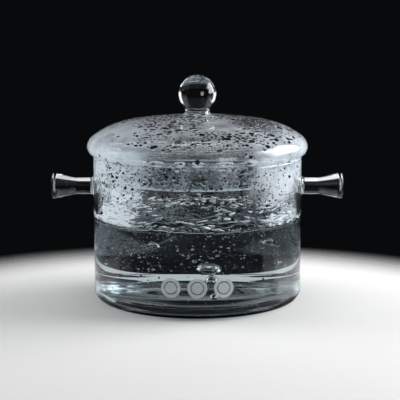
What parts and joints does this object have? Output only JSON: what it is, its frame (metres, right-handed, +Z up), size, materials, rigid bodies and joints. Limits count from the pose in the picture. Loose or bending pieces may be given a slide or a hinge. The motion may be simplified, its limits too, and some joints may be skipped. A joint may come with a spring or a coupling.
{
  "type": "saucepan with glass lid",
  "caption": "Clear glass saucepan with stub side handles and a lift-off domed glass lid with a ball knob, for simmering on a hob.",
  "frame": {"origin": "centre of the flat base, on the surface that the pan stands on", "axes": "+Z up along the pan's axis, +X along the right handle, -Y towards the front with the marks"},
  "size_m": [0.224, 0.1694, 0.1737],
  "materials": {
    "pan_glass": "clear blown borosilicate glass, fire-polished",
    "handle_glass": "clear solid borosilicate glass, fire-polished",
    "lid_glass": "clear blown borosilicate glass, fire-polished",
    "knob_glass": "clear solid borosilicate glass ball",
    "frosted_enamel": "fired-on translucent white enamel, matt"
  },
  "bodies": {
    "pan": {"pan_body": "pan_glass", "left_handle": "handle_glass", "right_handle": "handle_glass", "left_mark": "frosted_enamel", "centre_mark": "frosted_enamel", "right_mark": "frosted_enamel"},
    "lid": {"lid_shell": "lid_glass", "lid_knob": "knob_glass"}
  },
  "joints": [
    {"name": "lid_lift", "type": "slide", "parent": "pan", "child": "lid", "axis": [0, 0, 1], "range_m": [0, 0.12]}
  ]
}
